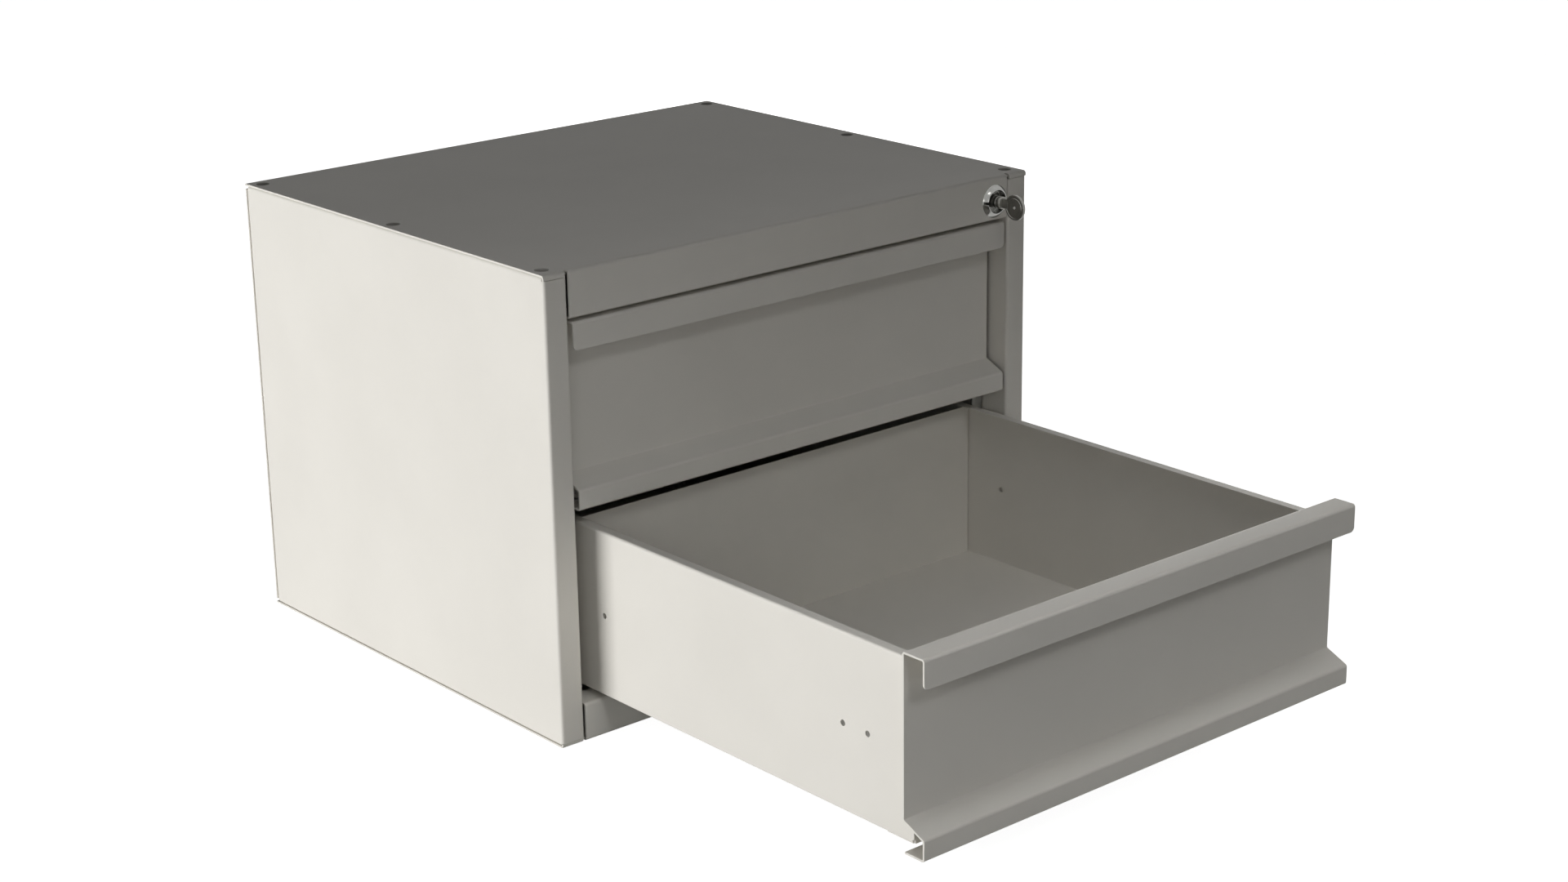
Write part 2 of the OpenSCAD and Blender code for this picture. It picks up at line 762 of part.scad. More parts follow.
from_face() side_panel(-1);  // left_side
from_face() side_panel(1);  // right_side
from_face() top_panel();
from_face() bottom_panel();
from_face() back_panel();
from_face() back_rivets();
from_face() carrier(-1, upper_z);  // upper_left_carrier
from_face() carrier(1, upper_z);  // upper_right_carrier
from_face() carrier(-1, lower_z);  // lower_left_carrier
from_face() carrier(1, lower_z);  // lower_right_carrier
from_face() carrier_screws();
from_face() fixed_rail(-1, upper_z);  // upper_left_rail
from_face() fixed_rail(1, upper_z);  // upper_right_rail
from_face() fixed_rail(-1, lower_z);  // lower_left_rail
from_face() fixed_rail(1, lower_z);  // lower_right_rail
from_face() rail_screws();
from_face() rail_glides();
from_face() middle_member(-1, upper_z);  // upper_left_middle
from_face() middle_member(1, upper_z);  // upper_right_middle
from_face() middle_glides(-1, upper_z);  // upper_left_glides
from_face() middle_glides(1, upper_z);  // upper_right_glides
pulled(0.5) middle_member(-1, lower_z);  // lower_left_middle
pulled(0.5) middle_member(1, lower_z);  // lower_right_middle
pulled(0.5) middle_glides(-1, lower_z);  // lower_left_glides
pulled(0.5) middle_glides(1, lower_z);  // lower_right_glides
from_face() drawer_front(upper_z);  // upper_front
from_face() tray(upper_z);  // upper_tray
from_face() tray_back(upper_z);  // upper_back
from_face() front_nuts(upper_z);  // upper_front_nuts
from_face() runner(-1, upper_z);  // upper_left_runner
from_face() runner(1, upper_z);  // upper_right_runner
from_face() runner_glides(upper_z);  // upper_runner_glides
from_face() catch_plate(upper_z);  // upper_catch
from_face() catch_rivets(upper_z);  // upper_catch_rivets
pulled(1) drawer_front(lower_z);  // lower_front
pulled(1) tray(lower_z);  // lower_tray
pulled(1) tray_back(lower_z);  // lower_back
pulled(1) front_nuts(lower_z);  // lower_front_nuts
pulled(1) runner(-1, lower_z);  // lower_left_runner
pulled(1) runner(1, lower_z);  // lower_right_runner
pulled(1) runner_glides(lower_z);  // lower_runner_glides
pulled(1) catch_plate(lower_z);  // lower_catch
pulled(1) catch_rivets(lower_z);  // lower_catch_rivets
from_face() lock_housing();
from_face() lock_nut();
from_face() lock_plug();
from_face() lock_cam();
from_face() cam_screw();
from_face() key();
from_face() lock_bar();
from_face() bar_guides();
from_face() guide_rivets();
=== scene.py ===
# Two-drawer steel cabinet that is bolted under a worktop: folded and powder-coated sheet steel,
# telescopic slides, a cam lock and a lock bar. Units are metres, and sizes named _mm are millimetres.
import math

import bmesh
import bpy
from mathutils import Matrix, Vector


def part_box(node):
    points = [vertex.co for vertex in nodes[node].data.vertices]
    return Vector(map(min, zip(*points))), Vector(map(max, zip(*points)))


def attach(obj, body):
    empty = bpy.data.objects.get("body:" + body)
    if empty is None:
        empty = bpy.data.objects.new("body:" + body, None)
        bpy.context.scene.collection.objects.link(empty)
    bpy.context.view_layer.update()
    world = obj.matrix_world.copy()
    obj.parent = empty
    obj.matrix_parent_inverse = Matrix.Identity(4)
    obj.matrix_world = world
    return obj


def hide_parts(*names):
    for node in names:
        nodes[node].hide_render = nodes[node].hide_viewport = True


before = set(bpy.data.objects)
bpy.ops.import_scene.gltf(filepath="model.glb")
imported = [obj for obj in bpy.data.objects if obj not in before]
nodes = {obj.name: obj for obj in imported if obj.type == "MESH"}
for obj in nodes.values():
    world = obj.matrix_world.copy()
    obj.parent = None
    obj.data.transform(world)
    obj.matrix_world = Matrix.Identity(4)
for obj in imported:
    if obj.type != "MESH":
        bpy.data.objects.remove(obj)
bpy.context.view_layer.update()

# Casing: two side sheets folded into uprights and posts, a top and a bottom with a folded rail each, and a
# back sheet. All are 1.5 mm mild steel, punched and press-braked, and powder-coated after they are joined.


def linear(code):
    """An sRGB hex colour as the linear colour that a shader takes."""
    parts = [int(code[i:i + 2], 16) / 255 for i in (1, 3, 5)]
    return [p / 12.92 if p <= 0.04045 else ((p + 0.055) / 1.055) ** 2.4 for p in parts] + [1.0]


def add(tree, kind, settings=None, links=None):
    """Adds a node, sets its properties and input values, and links its inputs to other nodes' outputs."""
    made = tree.nodes.new("ShaderNode" + kind)
    for name, value in (settings or {}).items():
        if name in made.inputs:
            made.inputs[name].default_value = value
        else:
            setattr(made, name, value)
    for name, (source, output) in (links or {}).items():
        tree.links.new(source.outputs[output], made.inputs[name])
    return made


def start_material(name, settings):
    """A material with its output, its principled shader and the place on the piece that patterns follow."""
    made = bpy.data.materials.new(name)
    made.use_nodes = True
    tree = made.node_tree
    tree.nodes.clear()
    surface = add(tree, "BsdfPrincipled", settings)
    add(tree, "OutputMaterial", links={"Surface": (surface, "BSDF")})
    return made, tree, surface, add(tree, "TexCoord")


def colour_between(tree, surface, pattern, first, second):
    """Lets a pattern move the surface's colour between two close shades."""
    share = add(tree, "MapRange", {"From Min": 0.35, "From Max": 0.65}, {"Value": (pattern, "Fac")})
    shade = add(tree, "MixRGB", {"Color1": linear(first), "Color2": linear(second)},
                {"Fac": (share, "Result")})
    tree.links.new(shade.outputs["Color"], surface.inputs["Base Color"])


# Powder coat, sprayed and oven-cured: a semi-matt polyester film of about 80 microns that softens every
# edge. It flows into an orange peel about 3 mm from crest to crest. Its fine texture, really 0.3 mm, is
# drawn at 0.8 mm so that it shows.
powder_coat, tree, surface, place = start_material(
    "powder_coat_sprayed", {"Roughness": 0.55, "IOR": 1.5, "Specular IOR Level": 0.12})
cloud = add(tree, "TexNoise", {"Scale": 1 / 0.09, "Detail": 3.0}, {"Vector": (place, "Object")})
peel = add(tree, "TexNoise", {"Scale": 1 / 0.003, "Detail": 1.0}, {"Vector": (place, "Object")})
grain = add(tree, "TexNoise", {"Scale": 1 / 0.0008, "Detail": 2.0}, {"Vector": (place, "Object")})
colour_between(tree, surface, cloud, "#DBD8D1", "#DEDBD4")
gloss = add(tree, "MapRange", {"To Min": 0.48, "To Max": 0.62}, {"Value": (grain, "Fac")})
tree.links.new(gloss.outputs["Result"], surface.inputs["Roughness"])
soft_edge = add(tree, "Bevel", {"samples": 4, "Radius": 0.0002})
peel_bump = add(tree, "Bump", {"Strength": 0.5, "Distance": 0.00002},
                {"Height": (peel, "Fac"), "Normal": (soft_edge, "Normal")})
grain_bump = add(tree, "Bump", {"Strength": 0.5, "Distance": 0.000012},
                 {"Height": (grain, "Fac"), "Normal": (peel_bump, "Normal")})
tree.links.new(grain_bump.outputs["Normal"], surface.inputs["Normal"])


same_point = 1e-6
crisp_sheet_angle = math.radians(31)


def dress(name, material):
    """Gives a CAD node its material, and smooth folds between crisp sheet edges."""
    made = nodes[name]
    for entry in made.material_slots:
        entry.material = material
    weld = made.modifiers.new("join_faces", "WELD")
    weld.merge_threshold = same_point
    split = made.modifiers.new("keep_sheet_edges", "EDGE_SPLIT")
    split.split_angle = crisp_sheet_angle
    made.modifiers.new("even_shading", "WEIGHTED_NORMAL")


for name in ("left_side", "right_side", "top_panel", "bottom_panel", "back_panel"):
    dress(name, powder_coat)

# Blind rivets that hold the back sheet to the posts: zinc-plated steel, 4 mm, set from outside. The head is
# domed round the hole where the pin broke off, and the blind end is a squeezed bulb behind the sheets.

# Zinc electroplate with a clear passivation: a bright grey metal, faintly clouded by the bath over some
# 10 mm, with drawing lines from the rolled wire or strip. The lines, really 0.05 mm, are drawn at 0.4 mm.
zinc_plate, tree, surface, place = start_material("zinc_electroplated", {"Metallic": 1.0, "Roughness": 0.32})
bath = add(tree, "TexNoise", {"Scale": 1 / 0.010, "Detail": 3.0}, {"Vector": (place, "Object")})
colour_between(tree, surface, bath, "#B5B7B5", "#C2C3C0")
stretch = add(tree, "Mapping", {"Scale": (1.0, 0.03, 1.0)}, {"Vector": (place, "Object")})
lines = add(tree, "TexNoise", {"Scale": 1 / 0.0004, "Detail": 2.0}, {"Vector": (stretch, "Vector")})
gloss = add(tree, "MapRange", {"To Min": 0.24, "To Max": 0.40}, {"Value": (lines, "Fac")})
tree.links.new(gloss.outputs["Result"], surface.inputs["Roughness"])
soft_edge = add(tree, "Bevel", {"samples": 4, "Radius": 0.0002})
line_bump = add(tree, "Bump", {"Strength": 0.4, "Distance": 0.000006},
                {"Height": (lines, "Fac"), "Normal": (soft_edge, "Normal")})
tree.links.new(line_bump.outputs["Normal"], surface.inputs["Normal"])


def solids(name):
    """Lowest and highest corner of each separate solid in a CAD node."""
    part = bmesh.new()
    part.from_mesh(nodes[name].data)
    bmesh.ops.remove_doubles(part, verts=part.verts, dist=same_point)
    left, boxes = set(part.verts), []
    while left:
        front = [left.pop()]
        found = [front[0].co]
        while front:
            for line in front.pop().link_edges:
                for end in line.verts:
                    if end in left:
                        left.discard(end)
                        front.append(end)
                        found.append(end.co)
        boxes.append((Vector([min(p[i] for p in found) for i in range(3)]),
                      Vector([max(p[i] for p in found) for i in range(3)])))
    part.free()
    return sorted(boxes, key=lambda box: tuple(round(c, 5) for c in box[0]))


def turned(outline_mm, sides, flats_mm=None):
    """A part turned about Z from (radius, height) points, whose marked rows are milled to a hexagon."""
    part = bmesh.new()
    rows = []
    for radius, height, *milled in outline_mm:
        if radius == 0:
            rows.append([part.verts.new((0, 0, height / 1000))])
            continue
        row = []
        for step in range(sides):
            angle = 2 * math.pi * step / sides
            reach = radius
            if milled:
                off_flat = (angle + math.pi / 6) % (math.pi / 3) - math.pi / 6
                off_flat = math.pi / 6 - abs(off_flat)
                reach = min(radius, flats_mm / 2 / math.cos(off_flat))
            row.append(part.verts.new((reach * math.cos(angle) / 1000, reach * math.sin(angle) / 1000,
                                       height / 1000)))
        rows.append(row)
    closed = outline_mm[0][0] > 0
    for a, b in zip(rows, rows[1:] + rows[:1] if closed else rows[1:]):
        for step in range(sides):
            ring = [a[step % len(a)], a[(step + 1) % len(a)], b[(step + 1) % len(b)], b[step % len(b)]]
            corners = list(dict.fromkeys(ring))
            if len(corners) > 2:
                part.faces.new(corners)
    bmesh.ops.recalc_face_normals(part, faces=part.faces)
    return part


def facing(direction, at):
    """Puts a part made about Z at a place, with its head toward a direction."""
    z = Vector(direction).normalized()
    x = Vector((1, 0, 0)) if abs(z.x) < 0.9 else Vector((0, 0, 1))
    y = z.cross(x).normalized()
    x = y.cross(z)
    return Matrix.Translation(at) @ Matrix((x, y, z)).transposed().to_4x4()


crisp_part_angle = math.radians(35)


def piece(name, part, places, material, body, replaced=()):
    """Makes one object from a part that is repeated at each place, with smooth curves and crisp edges."""
    whole = bmesh.new()
    single = bpy.data.meshes.new("single")
    part.to_mesh(single)
    part.free()
    for matrix in places:
        copy = single.copy()
        copy.transform(matrix)
        whole.from_mesh(copy)
        bpy.data.meshes.remove(copy)
    bpy.data.meshes.remove(single)
    for face in whole.faces:
        face.smooth = True
    for line in whole.edges:
        if len(line.link_faces) == 2 and line.calc_face_angle() > crisp_part_angle:
            line.smooth = False
    mesh = bpy.data.meshes.new(name)
    whole.to_mesh(mesh)
    whole.free()
    mesh.materials.append(material)
    made = bpy.data.objects.new(name, mesh)
    bpy.context.scene.collection.objects.link(made)
    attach(made, body)
    if replaced:
        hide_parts(*replaced)


rivet_head = 0.0012


def blind_rivet(grip_mm):
    """Domed head above Z = 0, shank through the sheets and bulb below them."""
    head = [(0, 0.5), (0.9, 0.42), (0.98, 0.15), (1.15, 0.15), (1.25, 1.1), (1.45, 1.2), (2.3, 1.1),
            (3.1, 0.78), (3.7, 0.4), (4.0, 0.12), (3.95, 0.0), (2.0, 0.0), (2.0, -grip_mm)]
    bulb = [(2.9, 0.08), (3.2, 0.45), (3.15, 0.9), (2.6, 1.3), (1.4, 1.45), (1.2, 1.5), (0, 1.5)]
    return turned(head + [(radius, -grip_mm - depth) for radius, depth in bulb], 32)


places = [facing((0, 1, 0), ((low.x + high.x) / 2, high.y - rivet_head, (low.z + high.z) / 2))
          for low, high in solids("back_rivets")]
piece("back_blind_rivets", blind_rivet(grip_mm=3.0), places, zinc_plate, "cabinet",
      ["back_rivets"])

# Slide carriers: four angles of 1.5 mm steel with a stiffening lip, bright zinc-plated, each held to its two
# posts by screws.
for level in ("upper", "lower"):
    for side in ("left", "right"):
        dress(f"{level}_{side}_carrier", zinc_plate)

# Carrier screws and rail screws: M4 pan-head steel, zinc-plated, with a pressed cross recess. The thread is
# drawn as rings at its real pitch of 0.7 mm.


def cut(part, cutter, operation="DIFFERENCE"):
    """Cuts one closed part with another, or joins the two."""
    pair = []
    for shape in (part, cutter):
        mesh = bpy.data.meshes.new("shape")
        shape.to_mesh(mesh)
        shape.free()
        made = bpy.data.objects.new("shape", mesh)
        bpy.context.scene.collection.objects.link(made)
        pair.append(made)
    step = pair[0].modifiers.new("cut", "BOOLEAN")
    step.operation = operation
    step.solver = "EXACT"
    step.object = pair[1]
    result = bmesh.new()
    result.from_object(pair[0], bpy.context.evaluated_depsgraph_get())
    for made in pair:
        mesh = made.data
        bpy.data.objects.remove(made)
        bpy.data.meshes.remove(mesh)
    return result


def bar(low_mm, high_mm, rounding_mm=0.0):
    """A rectangular block between two corners, with its edges rounded."""
    part = bmesh.new()
    middle = [(a + b) / 2000 for a, b in zip(low_mm, high_mm)]
    span = [(b - a) / 1000 for a, b in zip(low_mm, high_mm)]
    bmesh.ops.create_cube(part, size=1, matrix=Matrix.Translation(middle) @ Matrix.Diagonal((*span, 1)))
    if rounding_mm:
        bmesh.ops.bevel(part, geom=part.edges[:], offset=rounding_mm / 1000, segments=3, profile=0.5,
                        affect="EDGES")
    return part


thread_pitch_mm = 0.7


def pan_screw(head_d_mm, head_h_mm, length_mm, recess_mm=1.3):
    """Cross-recessed pan head above Z = 0, threaded shank below it."""
    r, h = head_d_mm / 2, head_h_mm
    outline = [(0, h), (0.45 * r, h * 0.985), (0.7 * r, h * 0.9), (0.88 * r, h * 0.7), (0.97 * r, h * 0.4),
               (r, h * 0.15), (r, 0.0), (2.0, 0.0)]
    depth = 0.3
    while depth + thread_pitch_mm < length_mm:
        outline += [(2.0, -depth), (1.72, -depth - 0.3), (1.72, -depth - 0.4), (2.0, -depth - 0.65)]
        depth += thread_pitch_mm
    outline += [(1.8, -length_mm + 0.1), (1.5, -length_mm), (0, -length_mm)]
    screw = turned(outline, 32)
    for angle in (45, 135):
        arm = bar((-0.48 * r, -0.42, h - recess_mm), (0.48 * r, 0.42, h + 0.5))
        for corner in arm.verts:
            if corner.co.z < h / 1000:
                corner.co.x *= 0.45
                corner.co.y *= 0.75
        arm.transform(Matrix.Rotation(math.radians(angle), 4, "Z"))
        screw = cut(screw, arm)
    return screw


head_h_mm = 2.2
places = []
for low, high in solids("carrier_screws"):
    inward = -1 if low.x > 0 else 1
    seat = low.x + head_h_mm / 1000 if inward < 0 else high.x - head_h_mm / 1000
    places.append(facing((inward, 0, 0), (seat, (low.y + high.y) / 2, (low.z + high.z) / 2)))
piece("carrier_pan_screws", pan_screw(8.0, head_h_mm, length_mm=6.0), places, zinc_plate,
      "cabinet", ["carrier_screws"])
places = [facing((0, 0, -1), ((low.x + high.x) / 2, (low.y + high.y) / 2, low.z + head_h_mm / 1000))
          for low, high in solids("rail_screws")]
piece("rail_pan_screws", pan_screw(7.0, head_h_mm, length_mm=3.0), places, zinc_plate,
      "cabinet", ["rail_screws"])

# Slides: fixed rail, middle member and runner, each roll-formed from 0.9 mm strip and zinc-plated. The
# middle member wraps the rail's head, and the runner under the tray wraps the middle member's flanges.
for level in ("upper", "lower"):
    for side in ("left", "right"):
        for member in ("rail", "middle", "runner"):
            dress(f"{level}_{side}_{member}", zinc_plate)

# Glides: small blocks of natural acetal, injection-moulded and snapped into the slide members. Their edges
# are rounded by the mould, and two shallow oil grooves cross each of their long sides.

# Acetal, moulded: a milky, waxy plastic with a satin skin. Light enters it a little, so its edges look soft.
acetal, tree, surface, place = start_material(
    "acetal_moulded", {"Roughness": 0.38, "IOR": 1.48, "Subsurface Weight": 0.15, "Subsurface Scale": 0.001})
flow = add(tree, "TexNoise", {"Scale": 1 / 0.006, "Detail": 2.0}, {"Vector": (place, "Object")})
colour_between(tree, surface, flow, "#DCD8CB", "#E4E0D4")
skin = add(tree, "TexNoise", {"Scale": 1 / 0.0005, "Detail": 1.0}, {"Vector": (place, "Object")})
gloss = add(tree, "MapRange", {"To Min": 0.32, "To Max": 0.44}, {"Value": (skin, "Fac")})
tree.links.new(gloss.outputs["Result"], surface.inputs["Roughness"])
skin_bump = add(tree, "Bump", {"Strength": 0.3, "Distance": 0.00001}, {"Height": (skin, "Fac")})
tree.links.new(skin_bump.outputs["Normal"], surface.inputs["Normal"])


rounding_mm, groove_depth_mm, groove_half_mm, past_block_mm = 0.22, 0.3, 0.8, 1


def glide_blocks(name, body):
    """Rounded and grooved blocks in place of the plain ones of a CAD node."""
    whole = bmesh.new()
    for low, high in solids(name):
        low_mm, high_mm = [c * 1000 for c in low], [c * 1000 for c in high]
        block = bar(low_mm, high_mm, rounding_mm)
        for share in (0.3, 0.7):
            y = low_mm[1] + share * (high_mm[1] - low_mm[1])
            for edge_x in (low_mm[0], high_mm[0]):
                block = cut(block, bar(
                    (edge_x - groove_depth_mm, y - groove_half_mm, low_mm[2] - past_block_mm),
                    (edge_x + groove_depth_mm, y + groove_half_mm, high_mm[2] + past_block_mm)))
        mesh = bpy.data.meshes.new("block")
        block.to_mesh(mesh)
        block.free()
        whole.from_mesh(mesh)
        bpy.data.meshes.remove(mesh)
    piece(f"{name}_moulded", whole, [Matrix()], acetal, body, [name])


glide_blocks("rail_glides", "cabinet")
for level in ("upper", "lower"):
    glide_blocks(f"{level}_runner_glides", f"{level}_drawer")
    for side in ("left", "right"):
        glide_blocks(f"{level}_{side}_glides", f"{level}_{side}_middle")

# Drawers: a front folded six times, with its handle and foot in one sheet, a tray of 1 mm steel and a back
# wall with turned tabs, all powder-coated like the casing.
for level in ("upper", "lower"):
    for part_name in ("front", "tray", "back"):
        dress(f"{level}_{part_name}", powder_coat)

# Front nuts: M5 steel flange nuts, zinc-plated, on studs welded behind the front. The studs' ends stand out
# of the nuts, and their thread is drawn as rings at its real pitch of 0.8 mm.
stud_pitch_mm, stud_turns, nut_top_mm = 0.8, 5, 4.6
for level in ("upper", "lower"):
    nut = turned([(2.5, 0.0), (5.45, 0.0), (5.5, 0.1), (5.5, 0.45), (5.2, 0.75), (4.4, 1.0), (4.63, 1.0, 1),
                  (4.63, 4.5, 1), (4.05, 5.0, 1), (2.95, 5.0), (2.5, nut_top_mm)], 48, flats_mm=8.0)
    places = [facing((0, 1, 0), ((low.x + high.x) / 2, low.y, (low.z + high.z) / 2))
              for low, high in solids(f"{level}_front_nuts")]
    piece(f"{level}_flange_nuts", nut, places, zinc_plate, f"{level}_drawer",
          [f"{level}_front_nuts"])
    thread = [(0, nut_top_mm), (2.48, nut_top_mm)]
    for turn in range(stud_turns):
        at_mm = stud_pitch_mm * turn
        thread += [(2.54, 4.7 + at_mm), (2.7, 5.0 + at_mm), (2.7, 5.1 + at_mm), (2.54, 5.4 + at_mm)]
    thread += [(2.5, 8.75), (2.1, 9.05), (0, 9.05)]
    piece(f"{level}_stud_threads", turned(thread, 32), places, zinc_plate,
          f"{level}_drawer")

# Catches: an angle of 1.2 mm zinc-plated steel on the right side of each tray, held by two blind rivets. The
# lock bar stands in front of it when it is locked.
for level in ("upper", "lower"):
    dress(f"{level}_catch", zinc_plate)
    places = [facing((1, 0, 0), (high.x - rivet_head, (low.y + high.y) / 2, (low.z + high.z) / 2))
              for low, high in solids(f"{level}_catch_rivets")]
    piece(f"{level}_catch_blind_rivets", blind_rivet(grip_mm=2.2), places, zinc_plate,
          f"{level}_drawer", [f"{level}_catch_rivets"])

# Lock housing: zinc alloy, die-cast, threaded behind the rail and chrome-plated. Its conical bezel has a
# recess round the plug, and a notch at its left for the housing tool.

# Chrome, electroplated over polished zinc alloy: a cool, dark-toned mirror with faint haze and fine
# polishing marks, really 0.02 mm apart, drawn at 0.3 mm.
chrome, tree, surface, place = start_material("chrome_electroplated", {"Metallic": 1.0, "Roughness": 0.22})
haze = add(tree, "TexNoise", {"Scale": 1 / 0.004, "Detail": 2.0}, {"Vector": (place, "Object")})
colour_between(tree, surface, haze, "#8F8F8C", "#999996")
marks = add(tree, "TexNoise", {"Scale": 1 / 0.0003, "Detail": 2.0}, {"Vector": (place, "Object")})
gloss = add(tree, "MapRange", {"To Min": 0.12, "To Max": 0.22}, {"Value": (marks, "Fac")})
tree.links.new(gloss.outputs["Result"], surface.inputs["Roughness"])
mark_bump = add(tree, "Bump", {"Strength": 0.1, "Distance": 0.000002}, {"Height": (marks, "Fac")})
tree.links.new(mark_bump.outputs["Normal"], surface.inputs["Normal"])

low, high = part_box("lock_housing")
bezel_h_mm, thread_turns = 3.5, 17
axis_x, axis_z = (low[0] + high[0]) / 2, (low[2] + high[2]) / 2
at_lock = facing((0, -1, 0), (axis_x, low[1] + bezel_h_mm / 1000, axis_z))
outline = [(5.8, -24.0), (5.8, -3.7), (9.6, -3.7), (9.8, -3.5), (9.8, 3.2), (9.95, 3.42), (10.2, 3.5),
           (10.45, 3.48), (10.7, 3.38), (13.86, 0.32), (14.0, 0.1), (13.98, 0.0), (11.25, 0.0), (11.25, -6.0)]
for turn in range(thread_turns):
    outline += [(11.25, -6.2 - turn), (10.75, -6.55 - turn), (10.75, -6.65 - turn), (11.25, -7.0 - turn)]
outline += [(11.25, -23.4), (10.7, -24.0)]
housing = turned(outline, 96)
housing = cut(housing, bar((-16.0, -1.3, 0.6), (-8.8, 1.3, 6.0)))
piece("lock_housing_cast", housing, [at_lock], chrome, "cabinet", ["lock_housing"])

# Lock nut: a flat hexagon nut of zinc-plated steel that clamps the housing behind the rail. Its corners are
# chamfered on both faces, and it is 26 mm across flats.
low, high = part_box("lock_nut")
nut = turned([(11.27, 0.0), (14.4, 0.0, 1), (15.0, 0.45, 1), (15.0, 3.55, 1), (14.4, 4.0, 1), (11.9, 4.0),
              (11.27, 3.6), (11.27, 0.4)], 96, flats_mm=26.0)
piece("lock_nut_milled", nut, [facing((0, 1, 0), (axis_x, low[1], axis_z))], zinc_plate,
      "cabinet", ["lock_nut"])

# Lock plug: brass, turned and milled, dark nickel-plated, with the key's slot through its face and a square
# end that drives the cam.

# Nickel, electroplated dark: a dark grey metal with a satin sheen, and slightly lighter where keys rub it.
dark_nickel, tree, surface, place = start_material(
    "brass_dark_nickel_plated", {"Metallic": 1.0, "Roughness": 0.34})
rub = add(tree, "TexNoise", {"Scale": 1 / 0.005, "Detail": 3.0}, {"Vector": (place, "Object")})
colour_between(tree, surface, rub, "#7E7D79", "#898883")
marks = add(tree, "TexNoise", {"Scale": 1 / 0.0004, "Detail": 2.0}, {"Vector": (place, "Object")})
gloss = add(tree, "MapRange", {"To Min": 0.26, "To Max": 0.42}, {"Value": (marks, "Fac")})
tree.links.new(gloss.outputs["Result"], surface.inputs["Roughness"])
mark_bump = add(tree, "Bump", {"Strength": 0.3, "Distance": 0.000006}, {"Height": (marks, "Fac")})
tree.links.new(mark_bump.outputs["Normal"], surface.inputs["Normal"])

plug = turned([(0, 1.8), (4.6, 1.8), (4.75, 1.72), (4.8, 1.5), (5.15, 1.5), (5.4, 1.42), (5.5, 1.2),
               (5.5, -3.0), (5.3, -3.2), (5.3, -4.2), (5.5, -4.4), (5.5, -24.5), (0, -24.5)], 96)
plug = cut(plug, bar((-3.67, -3.67, -26.4), (3.67, 3.67, -23.5)), "UNION")
plug = cut(plug, bar((-1.4, -4.15, -19.0), (1.4, 4.15, 3.0)))
plug = cut(plug, turned([(0, -20.0), (1.5, -20.0), (1.5, -28.0), (0, -28.0)], 32))
piece("lock_plug_turned", plug, [at_lock], dark_nickel, "lock_plug", ["lock_plug"])

# Cam, bar and guides: flat zinc-plated steel. The cam's pin runs in the slot of the lock bar, and two
# guides on the right post hold the bar.
for name in ("lock_cam", "lock_bar", "bar_guides"):
    dress(name, zinc_plate)
low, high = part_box("cam_screw")
head_h_mm = 1.0
screw = pan_screw(8.8, head_h_mm, length_mm=1.0, recess_mm=0.7)
shank = turned([(0, 0.2), (1.45, 0.2), (1.45, -6.2), (1.2, -6.45), (0, -6.45)], 32)
seat = (axis_x, high[1] - head_h_mm / 1000, axis_z)
piece("cam_pan_screw", cut(screw, shank, "UNION"), [facing((0, 1, 0), seat)], zinc_plate,
      "lock_plug", ["cam_screw"])
places = [facing((-1, 0, 0), (low.x + rivet_head, (low.y + high.y) / 2, (low.z + high.z) / 2))
          for low, high in solids("guide_rivets")]
piece("guide_blind_rivets", blind_rivet(grip_mm=2.7), places, zinc_plate, "cabinet",
      ["guide_rivets"])

# Key: blanked from flat brass, with a round bow, a turned collar that closes the plug's face, a milled groove
# along the blade and five cuts, dark nickel-plated like the plug.
key_cuts, cut_pitch = 5, 0.003
bow = turned([(1.25, -1.0), (1.45, -1.2), (7.6, -1.2), (7.9, -0.95), (8.9, -0.95), (9.2, -1.2), (10.3, -1.2),
              (10.6, -1.05), (10.75, -0.7), (10.75, 0.7), (10.6, 1.05), (10.3, 1.2), (9.2, 1.2), (8.9, 0.95),
              (7.9, 0.95), (7.6, 1.2), (1.45, 1.2), (1.25, 1.0)], 96)
bow.transform(Matrix.Translation((0, -0.0015, 0.024)) @ Matrix.Rotation(math.radians(90), 4, "Y"))
collar = turned([(0, 10.1), (4.7, 10.1), (5.1, 9.9), (5.3, 9.5), (5.3, 6.5), (5.0, 6.3), (4.95, 5.9),
                 (5.0, 5.5), (5.3, 5.3), (5.3, 2.5), (5.2, 2.2), (4.9, 2.1), (0, 2.1)], 96)
blade = bar((-1.2, -3.85, -18.0), (1.2, 3.85, 16.0), 0.25)
for cut_number in range(key_cuts):
    notch = bar((-2.4, -0.9, -0.9), (2.4, 0.9, 0.9))
    notch.transform(Matrix.Translation((0, -0.00385, -0.002 - cut_pitch * cut_number))
                    @ Matrix.Rotation(math.radians(45), 4, "X"))
    blade = cut(blade, notch)
for side in (-1, 1):
    blade = cut(blade, bar((side * 1.2 - 0.4, 0.2, -19.0), (side * 1.2 + 0.4, 1.8, 1.9)))
tip = bar((-3, -3.2, -1.6), (3, 3.2, 1.6))
tip.transform(Matrix.Translation((0, -0.0052, -0.0192)) @ Matrix.Rotation(math.radians(40), 4, "X"))
blade = cut(blade, tip)
whole = cut(cut(bow, blade, "UNION"), collar, "UNION")
piece("key_milled", whole, [at_lock], dark_nickel, "key", ["key"])

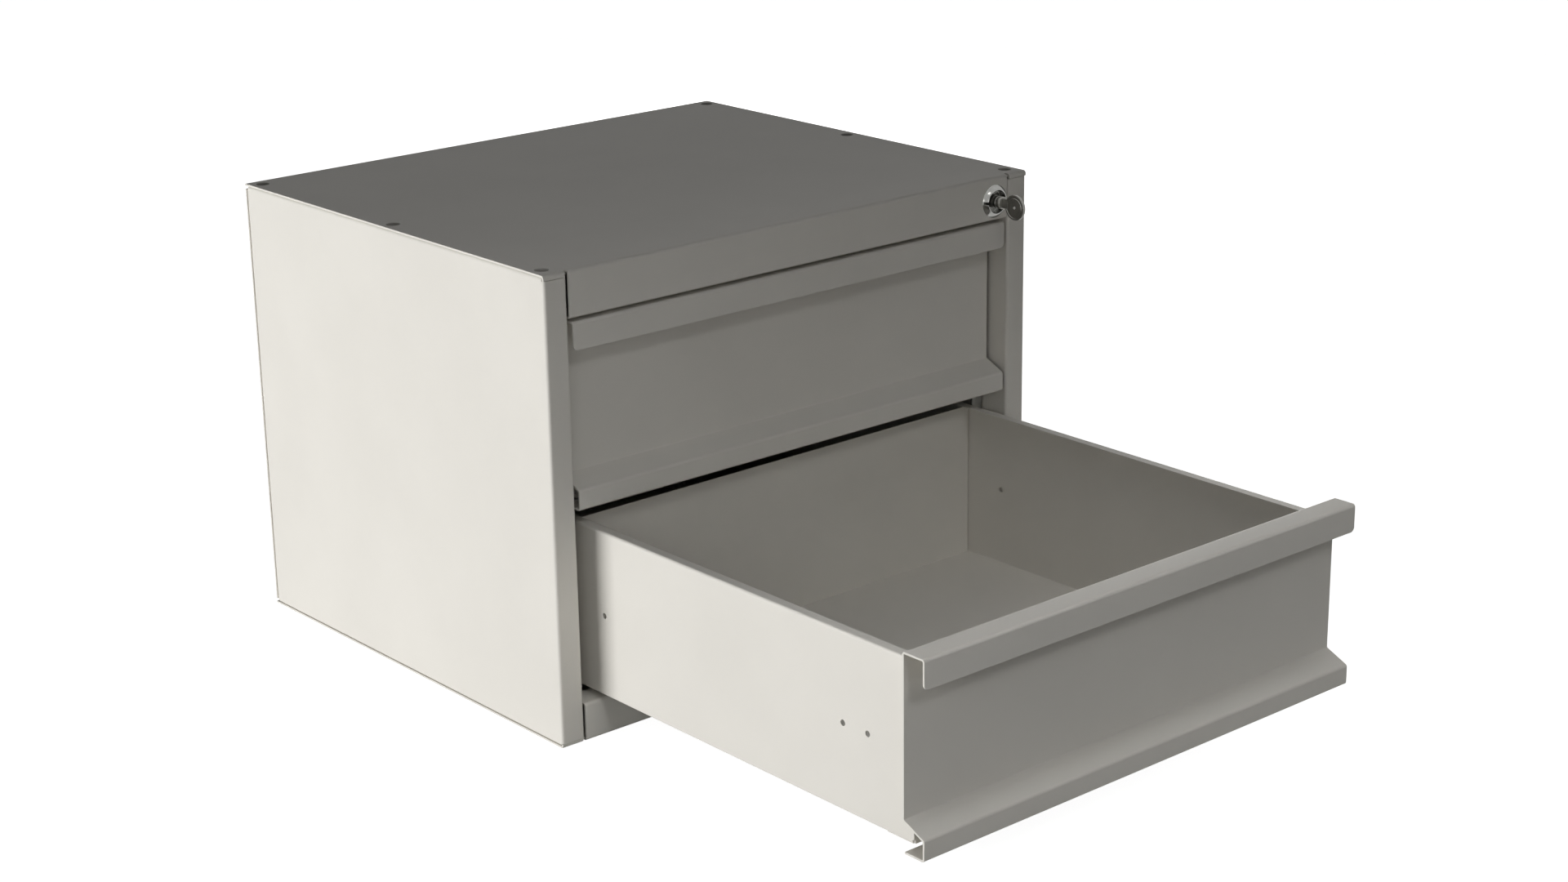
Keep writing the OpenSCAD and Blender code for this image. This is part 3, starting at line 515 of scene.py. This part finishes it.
# Studio: the camera stands where the photograph's did, and the floor and the background are white paper. Two
# soft lamps light the left side, three weak ones the open drawer and the fronts, and one the back and right.
yaw, pitch, roll = math.radians(40.535), math.radians(18.153), math.radians(0.903)
across = Vector((math.cos(yaw), -math.sin(yaw), 0))
ahead = Vector((math.sin(yaw) * math.cos(pitch), math.cos(yaw) * math.cos(pitch), -math.sin(pitch)))
down = ahead.cross(across)
rolled_across = math.cos(roll) * across + math.sin(roll) * down
rolled_down = math.cos(roll) * down - math.sin(roll) * across
lens = bpy.data.cameras.new("camera")
focal_mm, sensor_mm = 64.03, 36
camera_at = (-1.39715, -1.8196, 0.8922)
lens.lens, lens.sensor_width = focal_mm, sensor_mm
camera = bpy.data.objects.new("camera", lens)
camera.matrix_world = (Matrix.Translation(camera_at)
                       @ Matrix((rolled_across, -rolled_down, -ahead)).transposed().to_4x4())
bpy.context.scene.collection.objects.link(camera)
bpy.context.scene.camera = camera
bpy.context.scene.view_settings.view_transform = "Standard"


def seen(tree):
    """One where the camera, a mirror or a glass looks, and nought where light only bounces."""
    path = add(tree, "LightPath")
    mirrored = add(tree, "Math", {"operation": "MAXIMUM"})
    tree.links.new(path.outputs["Is Glossy Ray"], mirrored.inputs[0])
    tree.links.new(path.outputs["Is Transmission Ray"], mirrored.inputs[1])
    either = add(tree, "Math", {"operation": "MAXIMUM"})
    tree.links.new(path.outputs["Is Camera Ray"], either.inputs[0])
    tree.links.new(mirrored.outputs["Value"], either.inputs[1])
    return either


# Paper, uncoated: matt and pale. The camera sees it nearly white, and it still takes the cabinet's shadow.
paper, tree, surface, place = start_material(
    "paper_uncoated", {"Roughness": 0.9, "Emission Color": (1, 1, 1, 1)})
fibre = add(tree, "TexNoise", {"Scale": 1 / 0.02, "Detail": 4.0}, {"Vector": (place, "Object")})
colour_between(tree, surface, fibre, "#A9A9A7", "#ADADAB")
paper_white = 0.92
whiten = add(tree, "Math", {"operation": "MULTIPLY"})
whiten.inputs[1].default_value = paper_white
tree.links.new(seen(tree).outputs["Value"], whiten.inputs[0])
tree.links.new(whiten.outputs["Value"], surface.inputs["Emission Strength"])
sheet = bmesh.new()
half_width = 8
bmesh.ops.create_grid(sheet, x_segments=1, y_segments=1, size=half_width)
mesh = bpy.data.meshes.new("floor")
sheet.to_mesh(mesh)
sheet.free()
mesh.materials.append(paper)
floor = bpy.data.objects.new("floor", mesh)
bpy.context.scene.collection.objects.link(floor)

world = bpy.data.worlds.new("studio")
bpy.context.scene.world = world
world.use_nodes = True
tree = world.node_tree
tree.nodes.clear()
room_light = 0.083
dim = add(tree, "Background", {"Color": (1, 1, 1, 1), "Strength": room_light})
white = add(tree, "Background", {"Color": (1, 1, 1, 1), "Strength": 1.0})
mix = add(tree, "MixShader", links={"Fac": (seen(tree), "Value")})
tree.links.new(dim.outputs["Background"], mix.inputs[1])
tree.links.new(white.outputs["Background"], mix.inputs[2])
add(tree, "OutputWorld", links={"Surface": (mix, "Shader")})


def lamp(name, at, aim, width, height, power, spread=180):
    """A rectangular soft box: metres, watts, and degrees of spread."""
    light = bpy.data.lights.new(name, "AREA")
    light.shape = "RECTANGLE"
    light.size, light.size_y = width, height
    light.energy = power
    light.spread = math.radians(spread)
    made = bpy.data.objects.new(name, light)
    made.location = at
    made.rotation_euler = (Vector(aim) - Vector(at)).to_track_quat("-Z", "Y").to_euler()
    bpy.context.scene.collection.objects.link(made)


lamp("left_soft_box", (-2.5, 0.62, 0.09), (0, -0.1, 0.09), 1.5, 0.16, 53)
lamp("handle_soft_box", (0, -0.65, 1.0), (0, -0.54, 0.1), 1.3, 0.2, 0.26, 34)
lamp("front_soft_box", (-0.3, -1.7, 1.3), (0, -0.5, 0.12), 1.2, 0.7, 0.35, 21)
lamp("low_front_soft_box", (0, -2.9, 0.25), (0, -0.2, 0.2), 1.6, 0.4, 2.6)
lamp("near_left_soft_box", (-0.75, -0.75, 0.45), (-0.1, -0.3, 0.25), 0.4, 0.2, 0.6)
lamp("back_soft_box", (2.1, 1.7, 0.2), (0, 0, 0.2), 1.6, 0.3, 35)
